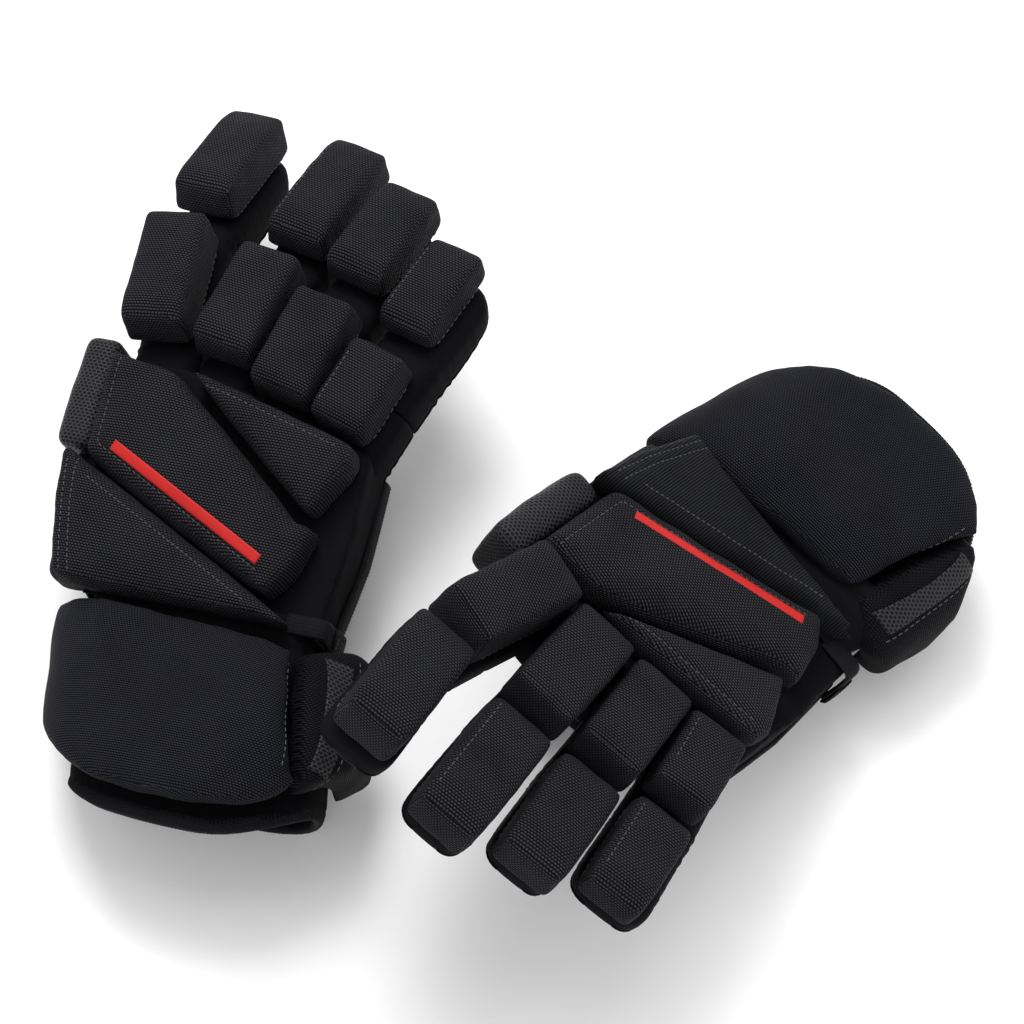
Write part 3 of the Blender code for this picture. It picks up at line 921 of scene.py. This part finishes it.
# the gussets' block before it is bent between two fingers
WEB_LOW = (-3, -12, -10)
WEB_HIGH = (3, 15, 7)
FINGER_WIDTH = 26.0


def webs(glove):
    """The stretch gussets between the finger bases."""
    for a, b in zip(FINGERS, FINGERS[1:]):
        first, second = (to_local(to_world([(0, 0, 0), (0, 24, 0)], glove.near[f]), glove.hand) for f in (a, b))
        base, tip = (first[0] + second[0]) / 2, (first[1] + second[1]) / 2
        spread = [(second[k][0] - first[k][0] - FINGER_WIDTH) / 2 for k in range(2)]
        lean = tip - base

        def shape(co, low, high):
            along = (co[1] + 12) / 36
            half = spread[0] * (1 - along) + spread[1] * along
            ahead = along * 1.5 - 0.5
            dent = 2.0 * max(0.0, co[2] / 10) ** 2 * (1 - (co[0] / 3) ** 2) * along
            return Vector((base[0] + lean[0] * ahead + co[0] / 3 * (half + 0.3),
                           base[1] + co[1] * lean[1] / 24, base[2] + 13 + lean[2] * ahead + co[2] - dent))
        piece = cushion(glove.name(f"{a}_{b}_gusset"), "nylon", glove.hand, WEB_LOW, WEB_HIGH, 2.0, 2.0, shape)
        box_uv(piece, glove.hand)
        ridden(piece, glove.name("hand"), "finger_cloth")


# ---------------- hand

LOWER_CLOTH = {"right": "knit", "left": "ottoman"}
MAIN_EDGE = [(-60.0, 87.0, 90.0), (-60.0, 48.0, 90.0), (27.0, 6.0, 90.0)]
MAIN_STRIPE = [(-52.0, 48.0, 90.0), (24.0, 11.8, 90.0)]
STRIPE_WIDTH = 4.6
WEDGE_EDGE = [(-20.0, 82.0, 90.0), (45.5, 65.6, 90.0)]
LOWER_EDGES = [[(-62.0 + step, -8.0, 90.0), (-68.5 + step, 20.0, 90.0), (-71.5 + step, 42.0, 90.0)]
               for step in (0.0, 4.2)]
LOWER_TOP_EDGE = [(-60.0, 32.6, 90.0), (24.0, -7.0, 90.0)]

# pads of the back of the hand: piece, node, grooves with their width and depth, seam, its paths and thread
BACK_PADS = (
    ("main_pad", "main_backhand_pad", [MAIN_EDGE], 1.3, 0.7, "main_pad_seam", [MAIN_EDGE], BACK_THREAD),
    ("wedge_pad", "knuckle_wedge_pad", [WEDGE_EDGE], 1.2, 0.5, "wedge_pad_seam", [WEDGE_EDGE], BACK_THREAD),
    ("wrist_pad", "lower_hand_pad", LOWER_EDGES, 1.2, 0.6, "wrist_pad_seam", LOWER_EDGES + [LOWER_TOP_EDGE],
     WRIST_THREAD))


def soft_node(glove, piece_name, node_name, cell, material, rounds, cap, body, slot, matrix, held=None, **more):
    """A padded piece from a CAD solid."""
    node = glove.name(node_name)
    piece = voxel_copy(glove.name(piece_name), node, cell, material, rounds)
    local = to_local(get_points(piece), matrix)
    mask = held(local) if held else np.zeros(len(local), bool)
    pad_later(piece, cap, mask, matrix, glove.name(body), slot, node, **more)


def red_stripe(glove, piece):
    """A plain red tape along the main pad's long edge."""
    name, hand = glove.name("red_stripe"), glove.hand
    path = resample(to_world(MAIN_STRIPE, hand), 1.5 * MM)
    along = (Vector(path[-1]) - Vector(path[0])).normalized()
    way = turned((0, 0, -1), hand)
    stations = [(Vector(point), way, along.cross(way).normalized()) for point in path]
    tape = laid_tape(name, piece, stations, STRIPE_WIDTH, "stripe", glove.name("hand"), "pad_knit", 0.3, 8)
    box_uv(tape, hand)


def below_rim(local):
    """The sides of a pad of the back of the hand, under its slanting rim."""
    return local[:, 2] < 36 + 0.1 * local[:, 1] - 0.03 * local[:, 0]


def back_pads(glove):
    for piece_name, node_name, grooves, width, depth, seam, paths, thread in BACK_PADS:
        def finish(piece, grooves=grooves, width=width, depth=depth, seam=seam, paths=paths, thread=thread):
            groove(piece, glove.hand, grooves, width, depth)
            if seam == "main_pad_seam":
                red_stripe(glove, piece)
            sew(glove.name(seam), piece, glove.hand, paths, (0, 0, -1), glove.name("hand"), "pad_knit", thread)
        material = LOWER_CLOTH[glove.side] if piece_name == "wrist_pad" else "knit"
        soft_node(glove, piece_name, node_name, PAD_CELL, material, 2, 1.8, "hand", "pad_knit", glove.hand,
                  held=below_rim, finish=finish, fold=(0.4, 12.0))


# low and high corners of the cloth behind the side rolls
SIDE_GUSSET = ((-76.0, 36.0, 9.0), (-60.0, 62.0, 42.0))


def side_rolls(glove):
    hand, body = glove.hand, glove.name("hand")
    for piece_name, node_name, material, slot, out in (
            ("open_mesh_roll", "mesh_side_roll", "mesh", "open_mesh", 2.2),
            ("side_roll", "side_strip_roll", "knit", "pad_knit", 1.2)):
        node = glove.name(node_name)
        low, high = extent(node, hand)

        def bulge(co, a, b):
            _, _, (x, y, z) = within(co, a, b)
            return Vector((co[0] - (out * (1 - y * y) * (1 - z * z) if x < 0 else 0), co[1], co[2]))
        piece = cushion(glove.name(piece_name), material, hand, low + 0.2, high - 0.2, ROLL_CELL, 5.0, bulge)
        local = to_local(get_points(piece), hand)
        pad_later(piece, 1.4, local[:, 0] > high[0] - 1.5, hand, body, slot, node, relax=1)
    piece = cushion(glove.name("side_gusset"), "nylon", hand, *SIDE_GUSSET, 2.6, 5.0)
    pad_later(piece, 0, None, hand, body, "backing_cloth", None, fill=0.3, fold=(0.8, 8.0))


PALM_SEAM = [(-60.0, 88.0, -30.0), (-36.0, 88.0, -30.0), (-7.0, 84.0, -30.0), (22.0, 76.0, -30.0),
             (48.0, 67.0, -30.0), (49.0, 30.0, -30.0), (45.5, -7.0, -30.0), (-53.0, -7.0, -30.0),
             (-60.5, 45.0, -30.0), (-60.0, 88.0, -30.0)]
PALM_CREASES = [[(-58.0, 66.0), (-20.0, 56.0), (20.0, 58.0), (48.0, 50.0)],
                [(-56.0, 44.0), (-20.0, 36.0), (4.0, 14.0), (8.0, -8.0)],
                [(48.0, 34.0), (22.0, 26.0), (10.0, 6.0)]]
# mounds of the palm: x, y, width, length
PALM_MOUNDS = ((-28, 70, 24, 14), (8, 64, 20, 13), (36, 52, 14, 14), (-40, 22, 20, 30), (34, 8, 18, 26))
MOUND_HEIGHT = 1.2


def hand_body(glove):
    """The palm and the cloth wall round the hand."""
    hand = glove.hand

    def palm_wear(piece):
        local = to_local(get_points(piece), hand)
        mounds = sum(np.exp(-((local[:, 0] - x) / wide) ** 2 - ((local[:, 1] - y) / long) ** 2)
                     for x, y, wide, long in PALM_MOUNDS)
        push(piece, facing_share(piece, hand, -1) * mounds * MOUND_HEIGHT)
        groove(piece, hand, PALM_CREASES, 2.0, 0.8, -1)
        groove(piece, hand, [PALM_SEAM], 1.3, 0.6, -1)
        sew(glove.name("palm_seam"), piece, hand, [PALM_SEAM], (0, 0, 1), glove.name("hand"), "palm_leather",
            PALM_THREAD)

    soft_node(glove, "palm_suede", "palm", PALM_CELL, "suede", 2, 0, "hand", "palm_leather", hand,
              fill=0.2, finish=palm_wear, relax=2)
    soft_node(glove, "hand_wall", "backhand_shell", WALL_CELL, "nylon", 3, 0, "hand", "backing_cloth", hand,
              fill=0.3, fold=(0.7, 10.0))


def wrist_sleeve(glove):
    """The cloth tube that joins the hand to the cuff."""
    sides = 56
    rings = []
    hand, cuff = glove.hand, glove.cuff
    back = to_local(to_world([(0, -4.0, 22.0)], hand), cuff)[0]
    for y in np.linspace(0, 1, 14):
        front = superellipse(sides, 50 - 1.5 * y, 14.5, 4.0)
        first = to_world([(x - 4.0, -4.0 - 34 * y, 22.5 + z) for x, z in front], hand)
        wave = 0.8 * math.cos(y * math.pi * 7)
        rear = superellipse(sides, 51 + wave, 13.5 + wave, 2.8)
        second = to_world([(back[0] + x, back[1] - 32 * y, back[2] + z) for x, z in rear], cuff)
        share = y * y * (3 - 2 * y)
        rings.append(first * (1 - share) + second * share)
    piece = tube_piece(glove.name("wrist_sleeve"), rings, closed=False)
    modified(piece, "SOLIDIFY", thickness=1.2 * MM, offset=-1)
    box_uv(piece, hand)
    ends = to_world([(0, -10.0, 22.0), (0, -26.0, 22.0)], hand)
    glove.name("hand")
    glove.name("cuff")
    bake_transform(piece)


RIB_PITCH = 1.6
BAND_SIDES = 12


def ribbed_band(name, glove, path, wide, thick, body, outs):
    """Woven tape along a line of points in metres, with its cross ribs modelled; outs face off the tape."""
    fine = resample(path, RIB_PITCH / 2 * MM)
    points = []
    section = superellipse(BAND_SIDES, wide / 2, thick / 2, 3.0)
    for index, here in enumerate(fine):
        ahead = Vector(fine[min(index + 1, len(fine) - 1)] - fine[max(index - 1, 0)]).normalized()
        side = ahead.cross(Vector(outs[min(index * len(outs) // len(fine), len(outs) - 1)])).normalized()
        out = side.cross(ahead)
        size = 1.0 if index % 2 else 0.70
        points += [Vector(here) + side * x * MM + out * z * size * MM for x, z in section]
    piece = outward(make_object(name, points, ring_faces(len(fine), BAND_SIDES), "webbing"))
    box_uv(piece, glove.hand)
    return ridden(piece, body, "elastic_webbing")


BINDING = [(53.3, 69, 8.2), (54.1, 50, 8.2), (54.6, 31, 8.2), (53.1, 14, 8.4), (51.5, -2, 8.8), (50.4, -11, 9.2)]


def strap_and_binding(glove):
    """The elastic strap with its tab, and the binding along the palm's edge."""
    hand, body = glove.hand, glove.name("hand")
    up, out = (np.array(hand)[:3, 2] / MM, np.array(hand)[:3, 0] / MM)
    low, high = extent(glove.name("wrist_strap"), hand)
    y = (low[1] + high[1]) / 2
    right, top = high[0] - 1.2, high[2] - 1.2
    corner = [(right - 4 * (1 - math.sin(a)), y, top - 4 * (1 - math.cos(a)))
              for a in np.linspace(0, math.pi / 2, 8)]
    path = [(low[0] - 8, y, top - 0.2)] + corner + [(right, y, low[2] + 4), (right - 0.6, y, low[2] - 3)]
    fine = resample(to_world(path, hand), 1.0 * MM)
    outs = [up if to_local([here], hand)[0][0] < right - 3.5 else out for here in fine]
    strap = ribbed_band(glove.name("elastic_strap"), glove, fine, 9.0, 2.2, body, outs)
    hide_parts(glove.name("wrist_strap"))
    tab_path = [(right + x, y, low[2] + z) for x, z in ((-0.2, -4), (1.3, -2), (1.5, 5), (1.2, 11))]
    tab = ribbed_band(glove.name("strap_tab"), glove, to_world(tab_path, hand), 9.6, 1.8, body, [out])
    seams = [[(right + 9, y + across, low[2] + height) for across in (-3.6, 3.6)] for height in (0.5, 3.5, 8.5)]
    sew(glove.name("strap_tab_seam"), tab, hand, seams, (-1, 0, 0), body, "elastic_webbing", TAB_THREAD)
    ribbed_band(glove.name("palm_binding"), glove, to_world(BINDING, hand), 9.0, 3.0, body, [out])


# ---------------- thumb

# how far the thumb's pad reaches past its roll, over the splint's edge
THUMB_PAD_OVER = (1.7, -0.4, -0.4)
ROOT_RINGS = 16
ROOT_CENTRE = (0.0, 8.0, 11.0)
ROOT_SIZE = (12.4, 15.5)


def thumb(glove):
    """The thumb's cloth tube, its pad, and the look of the splint inside."""
    matrix, body = glove.thumb, glove.name("thumb")
    low, high = extent(glove.name("thumb_sleeve"), matrix)
    half_x, half_z = (high[0] - low[0]) / 2, (high[2] - low[2]) / 2
    centre = ((high[0] + low[0]) / 2, (high[2] + low[2]) / 2)
    rings = []
    for y in tip_steps(low[1] - 8, high[1]):
        bulge = folds(y, 6) + folds(y, 40, 0.6, 5, 8)
        shrink = tip_shrink(y, high[1])
        wide = half_x - 0.4 + bulge * 0.4 - (1 - shrink) * half_x * 0.8
        tall = (half_z - 0.2) * (0.3 + 0.7 * shrink) + bulge * 0.3
        rings.append(sleeve_ring(matrix, y, centre, wide, tall))
    cover = ridden(finger_tube(glove.name("thumb_cover"), rings, matrix), body, "finger_cloth")
    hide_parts(glove.name("thumb_sleeve"))

    node = glove.name("thumb_roll")
    low, high = extent(node, matrix)
    pad = cushion(glove.name("thumb_pad"), "knit", matrix, low + 0.4, high + np.array(THUMB_PAD_OVER), ROLL_CELL,
                  3.8)
    local = to_local(get_points(pad), matrix)
    pad_later(pad, 1.2, local[:, 0] > high[0] - 1.4, matrix, body, "pad_knit", node, relax=1)
    NODES[glove.name("thumb_splint")].data.materials[0] = MATERIALS["plastic"]


def thumb_root(glove):
    """The cloth that joins the thumb to the palm above it."""
    plane = to_world([(0, 0, 6.0)], glove.hand)[0]
    normal = turned((0, 0, 1), glove.hand)
    rings = []
    for share in np.linspace(0, 1, ROOT_RINGS):
        spread = 1 + 0.10 * (1 - share) + 0.035 * math.cos(share * math.pi * 6)
        ring = [(ROOT_CENTRE[0] + x * spread, ROOT_CENTRE[1] + y * spread, ROOT_CENTRE[2])
                for x, y in superellipse(48, *ROOT_SIZE, 2.8)]
        lower = to_world(ring, glove.thumb)
        rise = (plane - lower) @ np.array(normal) / normal.z
        rings.append(lower + np.outer(rise * (1 - share), (0, 0, 1)))
    piece = tube_piece(glove.name("thumb_root"), rings)
    box_uv(piece, glove.hand)
    glove.name("hand")
    glove.name("thumb")
    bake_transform(piece)


# ---------------- cuff

STRIP_WIDTH = 9.0
DOME_FRONT_REACH = 26.0
DOME_FRONT_PUSH = 3.5
CUFF_RADIUS = 66.0
# the middle of the cuff's cross-section at its front and back
CUFF_AXIS = ((0.0, 1.8, -32.0), (9.0, -89.0, -36.0))
# the mesh strip and the two rows of stitches, in degrees round the cuff from the wing's seam
STRIP_TURN = -7.0
DOME_SEAM_TURN = 7.0
SIDE_SEAM_TURN = -13.0


def cuff_centre(y):
    """The middle of the cuff's cross-section at y in the cuff's frame."""
    front, back = np.array(CUFF_AXIS)
    return front + (back - front) * (front[1] - y) / (front[1] - back[1])


def cuff_rays(glove, y, degrees):
    """A far point at an angle round the cuff, the way inward, and the way round, in metres."""
    angle = math.radians(degrees)
    out = np.array([math.cos(angle), 0, math.sin(angle)])
    start = to_world([cuff_centre(y) + out * 150], glove.cuff)[0]
    return Vector(start), -turned(out, glove.cuff), turned((-math.sin(angle), 0, math.cos(angle)), glove.cuff)


def seam_angles(glove):
    """The wing's seam: for each y in the cuff's frame, the largest angle that the wing reaches."""
    local = to_local(corners(glove.name("cuff_wing")), glove.cuff)
    found = []
    for y in np.arange(-62.0, 1.0, 4.0):
        centre = cuff_centre(y)
        near = local[np.abs(local[:, 1] - y) < 5]
        if len(near) > 3:
            found.append((y, max(math.degrees(math.atan2(p[2] - centre[2], p[0] - centre[0])) for p in near)))
    ys, angles = np.array(found).T
    return ys, np.polyval(np.polyfit(ys, angles, 1), ys)


def cuff(glove):
    matrix, body = glove.cuff, glove.name("cuff")
    low, high = extent(glove.name("cuff_liner"), matrix)
    centre = ((low[0] + high[0]) / 2, (low[2] + high[2]) / 2 - 10)
    ys, angles = seam_angles(glove)

    def lines(piece, shift, name):
        tree = tree_of(piece)
        path = []
        for y, angle in zip(ys, angles):
            start, way, _ = cuff_rays(glove, y, angle + shift)
            path += [place for place, _ in drape([start], way, tree, 0.1)]
        stitches(glove.name(name), [path], body, "cuff_knit", **CUFF_THREAD)

    def dome(piece):
        local = to_local(get_points(piece), matrix)
        front = np.clip((local[:, 1] + DOME_FRONT_REACH) / DOME_FRONT_REACH, 0, 1) ** 2
        over = np.clip((local[:, 2] - centre[1]) / 40, 0, 1)
        local[:, 1] += DOME_FRONT_PUSH * front * over
        set_points(piece, to_world(local, matrix))
        wrap_uv(piece, matrix, centre, CUFF_RADIUS)
        lines(piece, DOME_SEAM_TURN, "cuff_dome_seam")

    def wing(piece):
        wrap_uv(piece, matrix, centre, CUFF_RADIUS)
        stations = [cuff_rays(glove, y, np.interp(y, ys, angles) + STRIP_TURN)
                    for y in np.arange(ys[0], ys[-1], 2.0)]
        strip = laid_tape(glove.name("cuff_mesh_strip"), piece, stations, STRIP_WIDTH, "mesh", body,
                          "open_mesh", 0.5, 12)
        wrap_uv(strip, matrix, centre, CUFF_RADIUS)
        lines(piece, SIDE_SEAM_TURN, "cuff_side_seam")

    def lining(piece):
        """Binds the lining's back rim, which is the mean of the points near it every 6 degrees, evened out."""
        wrap_uv(piece, matrix, centre, CUFF_RADIUS)
        local = to_local(get_points(piece), matrix)
        around = np.degrees(np.arctan2(local[:, 2] - centre[1], local[:, 0] - centre[0]))
        rim = []
        for angle in range(-180, 180, 6):
            near = local[np.abs((around - angle + 180) % 360 - 180) < 4]
            rim.append(near[near[:, 1] < near[:, 1].min() + 2.0].mean(0))
        rim = np.array(rim)
        for _ in range(3):
            rim = (np.roll(rim, 1, 0) + rim * 2 + np.roll(rim, -1, 0)) / 4
        rim = np.concatenate([rim, rim[:2]])
        away = (rim - np.array([centre[0], 0, centre[1]])) * np.array([1, 0, 1])
        outs = (away / np.linalg.norm(away, axis=1, keepdims=True)) @ (np.array(matrix)[:3, :3] / MM).T
        ribbed_band(glove.name("rim_binding"), glove, to_world(rim, matrix), 7.0, 5.0, body, outs)

    # the cuff's side wing takes the darker copy of the cuff knit, which paints shade on it
    for piece_name, node_name, material, cell, rounds, cap, slot, finish, relax in (
            ("cuff_dome", "cuff_pad", "fine", CUFF_CELL, 7, 4.0, "cuff_knit", dome, 14),
            ("cuff_side", "cuff_wing", "side", WING_CELL, 4, 2.0, "cuff_knit", wing, 10),
            ("cuff_lining", "cuff_liner", "lining", LINING_CELL, 3, 0, "liner_cloth", lining, 1)):
        soft_node(glove, piece_name, node_name, cell, material, rounds, cap, "cuff", slot, matrix,
                  finish=finish, fill=0.7, relax=relax, fold=(0.6, 16.0))


def glove_pieces(side):
    glove = Glove(side)
    for finger in FINGERS:
        roll(glove, finger, "proximal")
        roll(glove, finger, "distal")
        sleeve(glove, finger)
    for build in (webs, back_pads, side_rolls, hand_body, wrist_sleeve, strap_and_binding, thumb, thumb_root,
                  cuff):
        build(glove)


# ---------------- stage

def aimed(name, data, place, way):
    """A light or camera at a place, looking along way."""
    made = bpy.data.objects.new(name, data)
    made.location = place
    made.rotation_mode = "QUATERNION"
    made.rotation_quaternion = way.to_track_quat("-Z", "Y")
    bpy.context.scene.collection.objects.link(made)
    return made


def stage():
    bpy.ops.mesh.primitive_plane_add(size=12)
    floor = bpy.context.object
    floor.name = "floor"
    graph = Nodes("pale_floor")
    rough = graph.range(graph.noise(graph.space, 6.0), 0.0, 1.0, 0.75, 0.85)
    grey = (FLOOR_GREY, FLOOR_GREY, FLOOR_GREY, 1)
    floor.data.materials.append(graph.finish(Base_Color=grey, Roughness=rough))
    world = bpy.data.worlds.new("studio")
    world.use_nodes = True
    world.node_tree.nodes["Background"].inputs[0].default_value = (1, 1, 1, 1)
    world.node_tree.nodes["Background"].inputs[1].default_value = WORLD_LIGHT
    bpy.context.scene.world = world
    for name, place, size, power in LIGHTS:
        light = bpy.data.lights.new(name, "AREA")
        light.size = size
        light.energy = power
        aimed(name, light, place, -Vector(place))
    bpy.context.scene.view_settings.view_transform = "Standard"


def camera():
    elevation, turn = math.radians(CAMERA_ELEVATION), math.radians(CAMERA_TURN)
    back = Vector((math.cos(elevation) * math.sin(turn), -math.cos(elevation) * math.cos(turn),
                   math.sin(elevation)))
    data = bpy.data.cameras.new("camera")
    data.lens = CAMERA_LENS
    data.sensor_width = 36.0
    bpy.context.scene.camera = aimed("camera", data, Vector(CAMERA_AIM) + back * CAMERA_DISTANCE, -back)


camera()
stage()
for glove_side in SIDES:
    glove_pieces(glove_side)
finish_pads()
